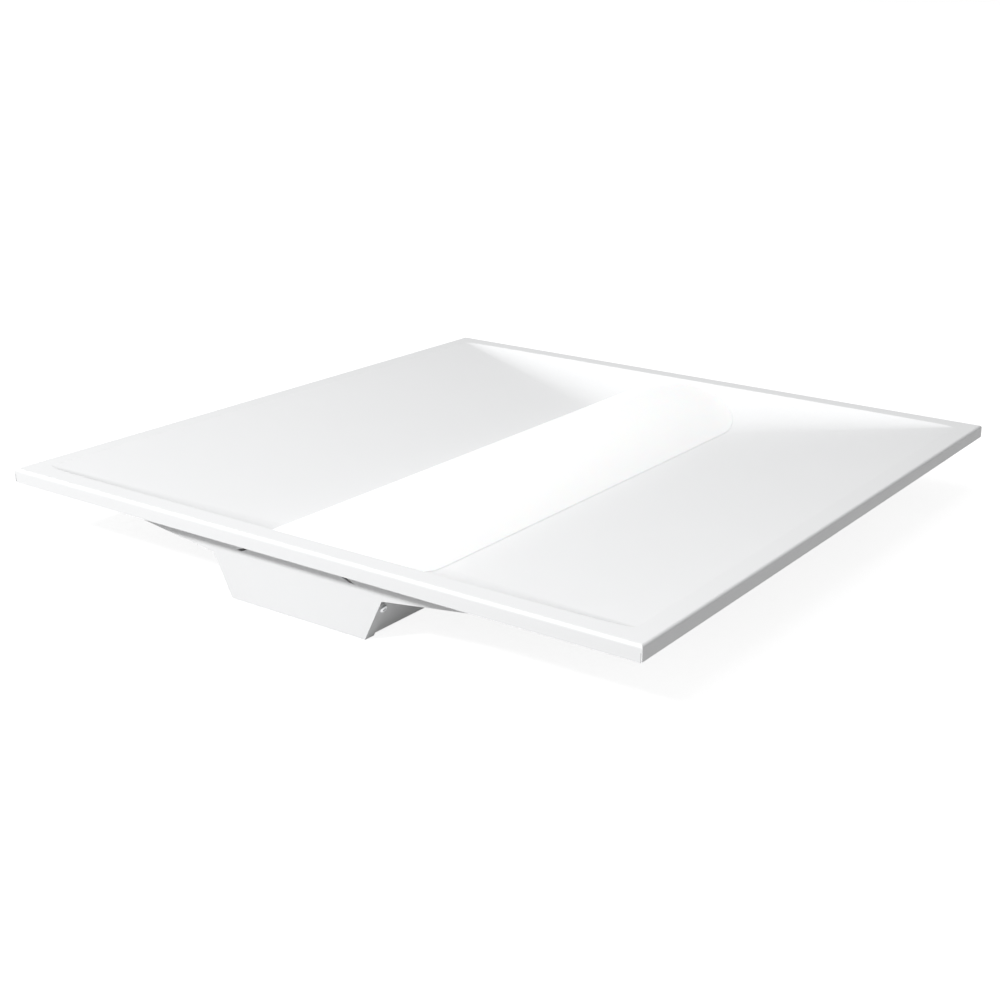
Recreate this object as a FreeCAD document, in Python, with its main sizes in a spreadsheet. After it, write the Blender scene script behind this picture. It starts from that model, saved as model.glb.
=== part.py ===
import FreeCAD, Part

import os
import re

import Sketcher

# A 2 ft by 2 ft recessed troffer light, lying on its back with the luminous face up.
# The origin is the middle of the back's resting plane. +X runs across the lens, +Y along it
# and +Z out of the luminous face.

# Driving sizes: millimetres, and degrees where the name says angle.
SIZES = {
    # Pressed reflector pan
    "face_height": 61.0,
    "flange_outer": 603.25,
    "flange_band": 18.0,
    "lip_end": 12.0,
    "lip_side": 11.2,
    "lip_bend": 2.5,
    "lip_slit": 0.6,
    "sheet_wall": 0.7,
    "seat_gap": 0.3,
    "recess_depth": 27.0,
    "floor_margin": 4.0,
    "end_angle": 41.7,
    "cove_corner": 15.0,
    "cove_lens": 95.0,
    "aperture_half_width": 76.0,
    "aperture_margin": 55.625,
    "hem_margin": 14.0,
    "hem_drop": 6.0,
    "press_over": 6.0,
    # Lens
    "lens_lap": 2.0,
    "lens_crown_drop": 2.2,
    "lens_wall": 2.0,
    "lens_leg_drop": 8.0,
    "lens_side_play": 0.5,
    # Channel and end plates
    "cap_inset": 9.4,
    "cap_bend": 0.5,
    "channel_bend": 1.2,
    "channel_lean_angle": 26.565,
    "mouth_margin": 7.0,
    "channel_brim": 12.0,
    "channel_brim_margin": 3.0,
    "cap_return": 10.0,
    "cap_return_drop": 4.0,
    "cap_top_return": 6.0,
    "plate_margin": 33.625,
    "slot_inner": 37.0,
    "slot_outer": 53.0,
    "slot_top_drop": 13.5,
    "slot_bottom_drop": 20.0,
    "slot_width": 5.0,
    "hanger_inset": 111.625,
    "hanger_drop": 6.5,
    "hanger_hole": 2.5,
    "knockout_radius": 11.1,
    "knockout_cut": 0.8,
    "knockout_tie": 3.0,
    "knockout_inset": 52.225,
    # LED tray and boards
    "tray_drop": 13.0,
    "tray_brim_drop": 7.6,
    "tray_margin": 12.225,
    "standoff_radius": 3.5,
    "standoff_bore_depth": 8.0,
    "standoff_margin": 24.0,
    "standoff_inset": 18.0,
    "board_width": 20.0,
    "board_inset": 40.0,
    "board_thick": 1.6,
    "board_margin": 44.0,
    "board_screw_inset": 20.0,
    "board_screw_length": 3.0,
    "chip_side": 3.5,
    "chip_height": 0.7,
    "chip_inset": 10.0,
    "chip_count": 24.0,
    # Driver and wiring
    "driver_length": 260.0,
    "driver_width": 40.0,
    "driver_room": 2.1,
    "driver_place_x": 8.0,
    "driver_place_y": 10.0,
    "driver_wall": 0.8,
    "driver_ear": 12.0,
    "driver_screw_length": 2.1,
    "lid_skirt": 5.0,
    "terminal_length": 14.0,
    "terminal_room": 2.9,
    "lead_radius": 1.3,
    "lead_spacing": 8.0,
    "lead_depth": 6.0,
    "disconnect_inset": 102.225,
    "disconnect_length": 16.0,
    "disconnect_width": 20.0,
    "disconnect_drop": 1.0,
    "connector_inset": 40.0,
    "connector_length": 10.0,
    "connector_width": 20.0,
    "connector_rise": 3.5,
    "ground_screw_x": -35.0,
    "ground_screw_inset": 42.225,
    # Fasteners
    "screw_shank": 1.5,
    "screw_head": 3.2,
    "screw_head_height": 1.9,
    "screw_cross": 3.4,
    "screw_cross_width": 0.7,
    "screw_cross_depth": 1.1,
    "screw_length": 4.5,
    "thread_clear": 0.08,
    "cap_screw_drop": 8.0,
    "cap_screw_inset": 5.5,
    # Lens springs
    "spring_wall": 0.5,
    "spring_width": 12.0,
    "spring_height": 8.5,
    "spring_tip": 1.4,
    "spring_foot": 8.0,
    # Access cover
    "access_length": 110.0,
    "access_inset": 122.225,
    "access_low": 6.0,
    "access_rise": 2.0,
    "access_lap": 4.0,
    "hinge_barrel": 1.7,
    "hinge_bore": 1.05,
    "hinge_pin": 1.0,
    "knuckle_length": 14.0,
    "knuckle_gap": 0.4,
    "cover_screw_play": 2.4,
    # Grid clips
    "clip_inset": 121.625,
    "clip_width": 12.0,
    "clip_wall": 0.9,
    "clip_reach": 33.0,
    "clip_hook": 11.0,
    "clip_hole": 2.0,
    "clip_barrel": 2.5,
    "clip_bore": 1.55,
    "clip_pin": 1.5,
    "clip_pivot_inset": 8.5,
    "clip_pivot_drop": 8.5,
    "bracket_foot": 11.0,
    "bracket_gap": 0.5,
}

# Lines of the object that several pieces share, as expressions on the sizes.
OUTER = "(flange_outer / 2)"
RIM = "(flange_outer / 2 - flange_band)"
FLOOR = "(face_height - recess_depth)"
FLOOR_HALF = "(aperture_half_width + floor_margin)"
WING_RISE = f"(recess_depth / ({RIM} - {FLOOR_HALF}))"
LENS_HALF = "(aperture_half_width + lens_lap)"
BOARD_X = "(aperture_half_width - board_margin)"
STANDOFF_X = "(aperture_half_width - standoff_margin)"
LEAN = "tan(channel_lean_angle)"
CHANNEL_MOUTH = "(aperture_half_width + mouth_margin)"
CHANNEL_BACK = f"({CHANNEL_MOUTH} - {LEAN} * {FLOOR})"
CHANNEL_BRIM = f"({CHANNEL_MOUTH} + channel_brim)"
LEANING_SIDES = (("", "90 + channel_lean_angle"), ("-", "-90 - channel_lean_angle"))
SCREW_HOLE = "(screw_shank + thread_clear)"
CAP_FACE = f"({OUTER} - cap_inset)"
APERTURE_END = f"({RIM} - aperture_margin)"
PLATE_REACH = f"({RIM} - plate_margin)"
TRAY_TOP = f"({FLOOR} - tray_drop)"
TRAY_BRIM = f"({FLOOR} - tray_brim_drop)"
TRAY_END = f"({CAP_FACE} - tray_margin)"
STANDOFF_Y = f"({TRAY_END} - standoff_inset)"
BOARD_END = f"({TRAY_END} - board_inset)"
BOARD_SCREW_Y = f"({BOARD_END} - board_screw_inset)"
CAP_SCREW_HEIGHT = f"({FLOOR} - cap_screw_drop)"
ACCESS_Y = f"(access_inset - {CAP_FACE})"
ACCESS_TOP = f"({TRAY_TOP} + access_rise)"
CHIP_ROW = f"(2 * ({BOARD_END} - chip_inset))"
SPRING_PITCH = f"(2 * {BOARD_END} / 3)"
GROUND_SCREW_Y = f"(ground_screw_inset - {CAP_FACE})"
CONNECTOR_Y = f"({BOARD_END} - connector_inset)"
DISCONNECT_Y = f"(disconnect_inset - {CAP_FACE})"
CLIP_Y = f"({OUTER} - clip_inset)"
CHANNEL_SKIN = "(sheet_wall + seat_gap)"
CHANNEL_INSIDE = "(2 * sheet_wall + seat_gap)"
TRAY_SKIN = "(2 * sheet_wall + 2 * seat_gap)"
LENS_FOOT = f"({FLOOR} + seat_gap)"
LENS_CROWN = "(face_height - lens_crown_drop)"
LENS_RADIUS = f"(({LENS_HALF}^2 + ({LENS_CROWN} - {LENS_FOOT})^2) / (2 * ({LENS_CROWN} - {LENS_FOOT})))"

DOCUMENT = FreeCAD.newDocument("troffer")
SHEET = DOCUMENT.addObject("Spreadsheet::Sheet", "Sizes")
NODES = []


def fill_sheet():
    """Write every driving size to the spreadsheet, one aliased cell each."""
    for row, (alias, size) in enumerate(SIZES.items(), start=1):
        SHEET.set(f"A{row}", alias)
        SHEET.set(f"B{row}", str(size))
        SHEET.setAlias(f"B{row}", alias)
    DOCUMENT.recompute()


def bound(text):
    """Turn an expression in size names into one that reads the spreadsheet's cells."""
    return re.sub(r"[a-z][a-z_]*", lambda word: f"Sizes.{word[0]}" if word[0] in SIZES else word[0], text)


def amount(text):
    """Return the present value of an expression in size names."""
    return float(SHEET.evalExpression(text))


def wing(x):
    """Height of the reflector's upper face at the distance x from the middle."""
    return f"(face_height - {WING_RISE} * ({RIM} - ({x})))"


def leaning(height, depth="0"):
    """Half width of the channel's side at a height, at a depth behind the end plate's skin."""
    return f"({CHANNEL_BACK} + {LEAN} * ({height}) - ({depth}) / cos(channel_lean_angle))"


def new_body(name):
    """Add an empty body whose label names its file."""
    body = DOCUMENT.addObject("PartDesign::Body", name)
    body.Label = name
    return body


def keep(piece):
    """List a finished piece as a node of the assembly."""
    NODES.append(piece)
    return piece


def place(piece, x="0", y="0", z="0", axis=(0, 0, 1), angle="0"):
    """Bind a piece's placement to the sizes."""
    turn = FreeCAD.Rotation(FreeCAD.Vector(*axis), amount(angle))
    piece.Placement = FreeCAD.Placement(FreeCAD.Vector(), turn)
    piece.setExpression("Placement.Base.x", bound(x))
    piece.setExpression("Placement.Base.y", bound(y))
    piece.setExpression("Placement.Base.z", bound(z))
    if angle != "0":
        piece.setExpression("Placement.Rotation.Angle", bound(angle))


def new_sketch(body, plane, offset):
    """Add a sketch on one of the body's origin planes, moved along the plane's normal."""
    sketch = body.newObject("Sketcher::SketchObject", f"{body.Name}_outline")
    planes = [face for face in body.Origin.OriginFeatures if face.Role == f"{plane}_Plane"]
    sketch.AttachmentSupport = [(planes[0], "")]
    sketch.MapMode = "FlatFace"
    sketch.setExpression("AttachmentOffset.Base.z", bound(offset))
    return sketch


def pin_point(sketch, edge, end, point):
    """Bind both coordinates of a sketch point to the sizes."""
    for kind, text in zip(("DistanceX", "DistanceY"), point):
        constraint = sketch.addConstraint(Sketcher.Constraint(kind, -1, 1, edge, end, amount(text)))
        sketch.setExpression(f"Constraints[{constraint}]", bound(text))


def arc_between(start, end, radius, left):
    """Return the shorter arc from start to end that turns left or right."""
    chord = end - start
    rise = (radius ** 2 - chord.Length ** 2 / 4) ** 0.5
    side = 1 if left else -1
    across = FreeCAD.Vector(-chord.y, chord.x, 0).normalize() * rise * side
    circle = Part.Circle(start + chord / 2 + across, FreeCAD.Vector(0, 0, 1), radius)
    first, last = (start, end) if left else (end, start)
    return Part.ArcOfCircle(circle, circle.parameter(first), circle.parameter(last))


def outline(body, plane, points, offset="0"):
    """Sketch a closed outline. A third item in a point makes the edge after it an arc.

    The third item is the arc's radius as an expression, with a minus sign for a right turn.
    """
    sketch = new_sketch(body, plane, offset)
    spots = [FreeCAD.Vector(amount(point[0]), amount(point[1]), 0) for point in points]
    ends = []
    for index, point in enumerate(points):
        start, end = spots[index], spots[(index + 1) % len(points)]
        if len(point) == 2:
            edge = sketch.addGeometry(Part.LineSegment(start, end))
            ends.append((edge, 1, 2))
            continue
        left = not point[2].startswith("-")
        radius = point[2].lstrip("-")
        edge = sketch.addGeometry(arc_between(start, end, amount(radius), left))
        ends.append((edge, 1, 2) if left else (edge, 2, 1))
        constraint = sketch.addConstraint(Sketcher.Constraint("Radius", edge, amount(radius)))
        sketch.setExpression(f"Constraints[{constraint}]", bound(radius))
    for index, point in enumerate(points):
        edge, first, last = ends[index]
        following = ends[(index + 1) % len(points)]
        sketch.addConstraint(Sketcher.Constraint("Coincident", edge, last, following[0], following[1]))
        pin_point(sketch, edge, first, point)
    return sketch


def rectangle(body, plane, low, high, offset="0"):
    """Sketch a rectangle between two corners."""
    corners = [low, (high[0], low[1]), high, (low[0], high[1])]
    return outline(body, plane, corners, offset)


def disc(body, plane, centre, radius, offset="0"):
    """Sketch a circle."""
    sketch = new_sketch(body, plane, offset)
    middle = FreeCAD.Vector(amount(centre[0]), amount(centre[1]), 0)
    edge = sketch.addGeometry(Part.Circle(middle, FreeCAD.Vector(0, 0, 1), amount(radius)))
    constraint = sketch.addConstraint(Sketcher.Constraint("Radius", edge, amount(radius)))
    sketch.setExpression(f"Constraints[{constraint}]", bound(radius))
    pin_point(sketch, edge, 3, centre)
    return sketch


def extrude(body, kind, sketch, length, back=False, both=False):
    """Pad or pocket a sketch by a length along its normal, backwards or both ways."""
    feature = body.newObject(f"PartDesign::{kind}", f"{body.Name}_{kind.lower()}")
    feature.Profile = sketch
    feature.setExpression("Length", bound(length))
    feature.Reversed = back
    feature.Midplane = both
    return feature


def pad(body, sketch, length, **ways):
    """Add a prism."""
    return extrude(body, "Pad", sketch, length, **ways)


def cut(body, sketch, length, **ways):
    """Remove a prism."""
    return extrude(body, "Pocket", sketch, length, **ways)


def drill(body, radius, length, x, y, z, axis=(0, 0, 1), angle="0"):
    """Remove a cylinder centred on a point, with its axis turned from +Z."""
    hole = body.newObject("PartDesign::SubtractiveCylinder", f"{body.Name}_hole")
    hole.setExpression("Radius", bound(radius))
    hole.setExpression("Height", bound(length))
    turn = FreeCAD.Rotation(FreeCAD.Vector(*axis), amount(angle))
    ahead = turn.multVec(FreeCAD.Vector(0, 0, 1))
    hole.Placement = FreeCAD.Placement(FreeCAD.Vector(), turn)
    for name, text, share in zip("xyz", (x, y, z), ahead):
        hole.setExpression(f"Placement.Base.{name}", bound(f"{text} - ({share / 2}) * ({length})"))
    return hole


def turned(body, points):
    """Revolve an outline in the XZ plane about the Z axis."""
    sketch = outline(body, "XZ", points)
    feature = body.newObject("PartDesign::Revolution", f"{body.Name}_turned")
    feature.Profile = sketch
    feature.ReferenceAxis = (sketch, ["V_Axis"])
    feature.Angle = 360
    return feature


def round_edges(body, base, edges, radius):
    """Fillet the named edges of a feature."""
    feature = body.newObject("PartDesign::Fillet", f"{body.Name}_fillet")
    feature.Base = (base, edges)
    feature.setExpression("Radius", bound(radius))
    return feature


def edges_where(feature, test):
    """Name the edges of a feature whose middle point passes a test."""
    DOCUMENT.recompute()
    named = enumerate(feature.Shape.Edges, start=1)
    return [f"Edge{number}" for number, edge in named if test(edge.CenterOfMass, edge)]


def faces_where(feature, test):
    """Name the faces of a feature whose centre passes a test."""
    DOCUMENT.recompute()
    named = enumerate(feature.Shape.Faces, start=1)
    return [f"Face{number}" for number, face in named if test(face.CenterOfMass)]


def group(name, members):
    """Gather alike pieces in one node of separate solids."""
    compound = DOCUMENT.addObject("Part::Compound", name)
    compound.Label = name
    compound.Links = members
    return keep(compound)


# Reflector pan

def recess_section(body, x, level, offset, radius):
    """Sketch the recess across one station of X: end slope, cove, wing, cove, end slope."""
    top = "(face_height + press_over)"
    slope_foot = f"({RIM} + {offset} / sin(end_angle) - (face_height - {level}) / tan(end_angle))"
    slope_top = f"({RIM} + {offset} / sin(end_angle) + press_over / tan(end_angle))"
    tangent = f"({radius} * tan(end_angle / 2))"
    wing_end = f"({slope_foot} - {tangent})"
    slope_start = f"({slope_foot} + {tangent} * cos(end_angle))"
    slope_level = f"({level} + {tangent} * sin(end_angle))"
    points = [
        (f"-{slope_top}", top),
        (f"-{slope_start}", slope_level, radius),
        (f"-{wing_end}", level),
        (wing_end, level, radius),
        (slope_start, slope_level),
        (slope_top, top),
    ]
    return outline(body, "YZ", points, x)


def recess_loft(body, kind, offset):
    """Loft the recess through four stations of X, as a tool or as the pressed shell around it."""
    over = "2"
    reach = f"({RIM} + {over} / {WING_RISE})"
    cove_growth = f"((cove_lens - cove_corner) / ({RIM} - {FLOOR_HALF}))"
    rim_radius = f"(cove_corner - {cove_growth} * {over} / {WING_RISE} + {offset})"
    rim_level = f"(face_height + {over} - {offset} * sqrt(1 + {WING_RISE}^2))"
    floor_level = f"({FLOOR} - {offset})"
    floor_radius = f"(cove_lens + {offset})"
    sections = [
        recess_section(body, f"-{reach}", rim_level, offset, rim_radius),
        recess_section(body, f"-{FLOOR_HALF}", floor_level, offset, floor_radius),
        recess_section(body, FLOOR_HALF, floor_level, offset, floor_radius),
        recess_section(body, reach, rim_level, offset, rim_radius),
    ]
    feature = body.newObject(f"PartDesign::{kind}Loft", f"{body.Name}_loft")
    feature.Profile = sections[0]
    feature.Sections = sections[1:]
    feature.Ruled = True
    return feature


def make_reflector_pan():
    """Press the flange, its folded lips, the two wings and the coved ends from one sheet."""
    body = new_body("reflector_pan")
    blank = rectangle(body, "XY", (f"-{OUTER}", f"-{OUTER}"), (OUTER, OUTER), "face_height")
    slab = pad(body, blank, "lip_end", back=True)
    height = amount("face_height")
    bends = edges_where(slab, lambda middle, edge: abs(middle.z - height) < 0.01)
    round_edges(body, slab, bends, "lip_bend")
    rounded = body.Tip
    bottom = faces_where(rounded, lambda middle: middle.z < height - amount("lip_end") + 0.01)
    shell = body.newObject("PartDesign::Thickness", "reflector_pan_sheet")
    shell.Base = (rounded, bottom)
    shell.setExpression("Value", bound("sheet_wall"))
    shell.Reversed = True
    shell.Join = 0
    recess_loft(body, "Additive", "sheet_wall")
    above = rectangle(body, "XY", (f"-{OUTER}", f"-{OUTER}"), (OUTER, OUTER), "face_height")
    cut(body, above, "2 * press_over", back=True)
    recess_loft(body, "Subtractive", "0")
    aperture = rectangle(
        body,
        "XY",
        ("-aperture_half_width", f"-{APERTURE_END}"),
        ("aperture_half_width", APERTURE_END),
        f"{FLOOR} - recess_depth / 2",
    )
    cut(body, aperture, "recess_depth", back=True)
    for side in ("-", ""):
        near = (f"{side}aperture_half_width", f"-({APERTURE_END} - hem_margin)")
        far = (f"{side}(aperture_half_width + sheet_wall)", f"({APERTURE_END} - hem_margin)")
        hem = rectangle(body, "XY", near, far, f"{FLOOR} - sheet_wall / 2")
        pad(body, hem, "hem_drop + sheet_wall / 2", back=True)
    for side in ("-", ""):
        inner = (f"{side}({OUTER} - 2 * sheet_wall)", f"-{OUTER}")
        trim = rectangle(body, "XY", inner, (f"{side}{OUTER}", OUTER), "face_height - lip_side")
        cut(body, trim, "lip_end")
        skin = f"{side}({OUTER} - sheet_wall)"
        slit_corner = (f"{side}({OUTER} - sheet_wall - lip_slit)", f"-{OUTER}")
        slit = rectangle(body, "XY", slit_corner, (skin, OUTER), "face_height - 2 * lip_bend")
        cut(body, slit, "lip_end")
    return keep(body)


# Lens

def make_lens():
    """Extrude the barrel diffuser and cut both ends to lie on the pan's coved ends."""
    body = new_body("lens")
    leg_out = "(aperture_half_width - lens_side_play)"
    leg_in = "(aperture_half_width - lens_side_play - lens_wall)"
    leg_foot = f"({LENS_FOOT} - lens_leg_drop)"
    inner_radius = f"({LENS_RADIUS} - lens_wall)"
    inner_start = f"({LENS_CROWN} - {LENS_RADIUS} + sqrt({inner_radius}^2 - {leg_in}^2))"
    points = [
        (LENS_HALF, LENS_FOOT, LENS_RADIUS),
        (f"-{LENS_HALF}", LENS_FOOT),
        (f"-{leg_out}", LENS_FOOT),
        (f"-{leg_out}", leg_foot),
        (f"-{leg_in}", leg_foot),
        (f"-{leg_in}", inner_start, f"-{inner_radius}"),
        (leg_in, inner_start),
        (leg_in, leg_foot),
        (leg_out, leg_foot),
        (leg_out, LENS_FOOT),
    ]
    pad(body, outline(body, "XZ", points), f"2 * {RIM}", both=True)
    radius = "(cove_lens - seat_gap)"
    foot = f"({RIM} - seat_gap / sin(end_angle) - (face_height - {LENS_FOOT}) / tan(end_angle))"
    top = "(face_height + press_over)"
    tangent = f"({radius} * tan(end_angle / 2))"
    slope_top = f"({RIM} - seat_gap / sin(end_angle) + press_over / tan(end_angle))"
    for side in ("-", ""):
        points = [
            (f"{side}({foot} - {tangent})", f"{LENS_FOOT} - 2 * lens_leg_drop"),
            (f"{side}({foot} - {tangent})", LENS_FOOT, radius if side == "" else f"-{radius}"),
            (f"{side}({foot} + {tangent} * cos(end_angle))", f"{LENS_FOOT} + {tangent} * sin(end_angle)"),
            (f"{side}{slope_top}", top),
            (f"{side}{OUTER}", top),
            (f"{side}{OUTER}", f"{LENS_FOOT} - 2 * lens_leg_drop"),
        ]
        cut(body, outline(body, "YZ", points), f"4 * {LENS_HALF}", both=True)
    return keep(body)


# Channel and end plates

def make_channel():
    """Fold the channel behind the lens, with brims under the wings."""
    body = new_body("channel")
    wall_top = f"({FLOOR} - 2 * sheet_wall - seat_gap)"
    brim = f"({wing(CHANNEL_BRIM)} - 2 * sheet_wall - seat_gap)"
    right = [
        (leaning(CHANNEL_SKIN, CHANNEL_SKIN), CHANNEL_SKIN),
        (leaning(wall_top, CHANNEL_SKIN), wall_top),
        (CHANNEL_BRIM, brim),
        (CHANNEL_BRIM, f"{brim} + sheet_wall"),
        (leaning(f"{wall_top} + sheet_wall", CHANNEL_INSIDE), f"{wall_top} + sheet_wall"),
        (leaning(CHANNEL_INSIDE, CHANNEL_INSIDE), CHANNEL_INSIDE),
    ]
    left = [(f"-{x}", z) for x, z in reversed(right)]
    length = f"2 * ({CAP_FACE} - sheet_wall - seat_gap)"
    prism = pad(body, outline(body, "XZ", right + left), length, both=True)
    back = amount(CHANNEL_SKIN)
    reach = amount(FLOOR) / 2
    outer = edges_where(prism, lambda middle, edge: abs(middle.z - back) < 0.01 and abs(middle.x) > reach)
    round_edges(body, prism, outer, "channel_bend")
    back += amount("sheet_wall")
    folded = body.Tip
    inner = edges_where(folded, lambda middle, edge: abs(middle.z - back) < 0.01 and abs(middle.x) > reach)
    round_edges(body, folded, inner, "channel_bend - sheet_wall")
    for side in ("-", ""):
        for end in ("-", ""):
            low = (f"{side}{CHANNEL_MOUTH}", f"{end}({APERTURE_END} - channel_brim_margin)")
            high = (f"{side}({CHANNEL_BRIM} + 1)", f"{end}{OUTER}")
            clip = rectangle(body, "XY", low, high, f"{FLOOR} - recess_depth / 4")
            cut(body, clip, "recess_depth / 2", back=True)
    for end in ("-", ""):
        knockout(body, f"{end}({CAP_FACE} - knockout_inset)")
        for side, angle in LEANING_SIDES:
            drill_cap_screw(body, side, end, angle)
    for x, y in driver_screw_spots() + [("ground_screw_x", GROUND_SCREW_Y)]:
        drill(body, SCREW_HOLE, "4 * sheet_wall", x, y, CHANNEL_SKIN)
    open_access(body)
    return keep(body)


def knockout(body, y):
    """Half shear a round knockout in the channel's back, held by two ties."""
    outer = disc(body, "XY", ("0", y), "knockout_radius", CHANNEL_SKIN)
    inner = "(knockout_radius - knockout_cut)"
    outer.addGeometry(Part.Circle(FreeCAD.Vector(0, amount(y), 0), FreeCAD.Vector(0, 0, 1), amount(inner)))
    constraint = outer.addConstraint(Sketcher.Constraint("Radius", 1, amount(inner)))
    outer.setExpression(f"Constraints[{constraint}]", bound(inner))
    pin_point(outer, 1, 3, ("0", y))
    cut(body, outer, "sheet_wall", back=True)
    half_tie = "(knockout_tie / 2)"
    reach = "(knockout_radius + knockout_cut)"
    low, high = (f"-{half_tie}", f"{y} - {reach}"), (half_tie, f"{y} + {reach}")
    tie = rectangle(body, "XY", low, high, CHANNEL_SKIN)
    pad(body, tie, "sheet_wall")


def drill_cap_screw(body, side, end, angle):
    """Drill the hole of an end plate screw through a leaning side."""
    x = f"{side}{leaning(CAP_SCREW_HEIGHT)}"
    y = f"{end}({CAP_FACE} - cap_screw_inset)"
    length = "4 * (sheet_wall + seat_gap)"
    drill(body, SCREW_HOLE, length, x, y, CAP_SCREW_HEIGHT, (0, 1, 0), angle)


def make_end_plate(name, turn):
    """Fold an end plate: a cap over the channel's end with wings under the pan's flange."""
    body = new_body(name)
    top = "(face_height - sheet_wall - seat_gap)"
    corner = f"({wing(CHANNEL_MOUTH)} - sheet_wall)"
    tip = f"({wing(PLATE_REACH)} - sheet_wall)"
    right = [(CHANNEL_BACK, "0"), (leaning(corner), corner), (PLATE_REACH, tip), (PLATE_REACH, top)]
    left = [(f"-{x}", z) for x, z in reversed(right)]
    pad(body, outline(body, "XZ", right + left, CAP_FACE), "sheet_wall", back=True)
    high = f"({FLOOR} - cap_return_drop)"
    rim = [
        (CHANNEL_BACK, "0"),
        (leaning(high), high),
        (leaning(high, "sheet_wall"), high),
        (leaning("sheet_wall", "sheet_wall"), "sheet_wall"),
    ]
    mirror = [(f"-{x}", z) for x, z in reversed(rim)]
    pad(body, outline(body, "XZ", rim + mirror, CAP_FACE), "cap_return", back=True)
    brim_low = (f"-{PLATE_REACH}", f"{top} - sheet_wall")
    brim = rectangle(body, "XZ", brim_low, (PLATE_REACH, top), CAP_FACE)
    folded = pad(body, brim, "cap_top_return", back=True)
    front = -amount(CAP_FACE)
    lowest = amount(f"{FLOOR} - cap_return_drop") / 2 + 0.5
    bends = edges_where(folded, lambda middle, edge: abs(middle.y - front) < 0.01 and middle.z < lowest)
    round_edges(body, folded, bends, "cap_bend")
    for side in ("-", ""):
        points = [
            (f"{side}slot_inner", "face_height - slot_top_drop"),
            (f"{side}(slot_inner + slot_width)", "face_height - slot_top_drop"),
            (f"{side}(slot_outer + slot_width)", "face_height - slot_bottom_drop"),
            (f"{side}slot_outer", "face_height - slot_bottom_drop"),
        ]
        cut(body, outline(body, "XZ", points, CAP_FACE), "4 * sheet_wall", both=True)
        hanger = (f"{side}({OUTER} - hanger_inset)", "face_height - hanger_drop")
        hole = disc(body, "XZ", hanger, "hanger_hole", CAP_FACE)
        cut(body, hole, "4 * sheet_wall", both=True)
    for side, angle in LEANING_SIDES:
        drill_cap_screw(body, side, "-", angle)
    place(body, angle=turn)
    return keep(body)


# Fasteners

def make_screw(name, length="screw_length"):
    """Turn a cross-recessed screw whose head seats at its origin and faces +Z."""
    body = new_body(name)
    points = [
        ("0", f"-({length})"),
        ("screw_shank * 0.5", f"-({length})"),
        ("screw_shank", f"-({length}) + screw_shank"),
        ("screw_shank", "0"),
        ("screw_head", "0"),
        ("screw_head", "screw_head_height * 0.45", "screw_head_height * 0.75"),
        ("screw_head - screw_head_height * 0.55", "screw_head_height"),
        ("0", "screw_head_height"),
    ]
    turned(body, points)
    for long, short in (("screw_cross", "screw_cross_width"), ("screw_cross_width", "screw_cross")):
        low, high = (f"-{long} / 2", f"-{short} / 2"), (f"{long} / 2", f"{short} / 2")
        arm = rectangle(body, "XY", low, high, "screw_head_height")
        cut(body, arm, "screw_cross_depth")
    return body


def make_end_plate_screws():
    """Screw both end plates to the channel's leaning sides."""
    screws = []
    for end in ("-", ""):
        for side, angle in LEANING_SIDES:
            screw = make_screw("end_plate_screw")
            x = f"{side}({leaning(CAP_SCREW_HEIGHT)} + 0.05)"
            y = f"{end}({CAP_FACE} - cap_screw_inset)"
            place(screw, x, y, CAP_SCREW_HEIGHT, (0, 1, 0), angle)
            screws.append(screw)
    return group("end_plate_screws", screws)


# LED tray

def make_led_tray():
    """Fold the tray that carries the LED boards and parts off the driver space."""
    body = new_body("led_tray")
    low = f"({TRAY_TOP} - sheet_wall)"
    inside = f"({TRAY_SKIN} + sheet_wall)"
    right = [
        (leaning(low, TRAY_SKIN), low),
        (leaning(TRAY_BRIM, TRAY_SKIN), TRAY_BRIM),
        (leaning(TRAY_BRIM, inside), TRAY_BRIM),
        (leaning(TRAY_TOP, inside), TRAY_TOP),
    ]
    left = [(f"-{x}", z) for x, z in reversed(right)]
    pad(body, outline(body, "XZ", right + left), f"2 * {TRAY_END}", both=True)
    for x, y in tray_screw_spots():
        drill(body, SCREW_HOLE, "4 * sheet_wall", x, y, TRAY_TOP)
    for x, y in board_screw_spots("-") + board_screw_spots(""):
        drill(body, SCREW_HOLE, "4 * sheet_wall", x, y, TRAY_TOP)
    half_width = "(connector_width / 2 + seat_gap)"
    half_length = "(connector_length / 2 + seat_gap)"
    low_corner = (f"driver_place_x - {half_width}", f"{CONNECTOR_Y} - {half_length}")
    high_corner = (f"driver_place_x + {half_width}", f"{CONNECTOR_Y} + {half_length}")
    cut(body, rectangle(body, "XY", low_corner, high_corner, TRAY_TOP), "4 * sheet_wall", both=True)
    return keep(body)


def tray_screw_spots():
    """List the places of the tray's screws and standoffs."""
    ends = ("-", "")
    return [(f"{side}{STANDOFF_X}", f"{end}{STANDOFF_Y}") for side in ends for end in ends]


def board_screw_spots(side):
    """List the places of one board's screws."""
    return [(f"{side}{BOARD_X}", y) for y in (f"-{BOARD_SCREW_Y}", "0", BOARD_SCREW_Y)]


def make_tray_standoffs():
    """Turn the threaded posts between the channel's back and the tray."""
    posts = []
    top = f"({TRAY_TOP} - sheet_wall)"
    for x, y in tray_screw_spots():
        post = new_body("tray_standoff")
        points = [
            ("0", CHANNEL_INSIDE),
            ("standoff_radius", CHANNEL_INSIDE),
            ("standoff_radius", top),
            (SCREW_HOLE, top),
            (SCREW_HOLE, f"{top} - standoff_bore_depth"),
            ("0", f"{top} - standoff_bore_depth"),
        ]
        turned(post, points)
        place(post, x, y)
        posts.append(post)
    return group("tray_standoffs", posts)


def make_screw_group(name, spots, height, length="screw_length"):
    """Set one upright screw at each spot."""
    screws = []
    for x, y in spots:
        screw = make_screw(f"{name}_one", length)
        place(screw, x, y, height)
        screws.append(screw)
    return group(name, screws)


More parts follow.
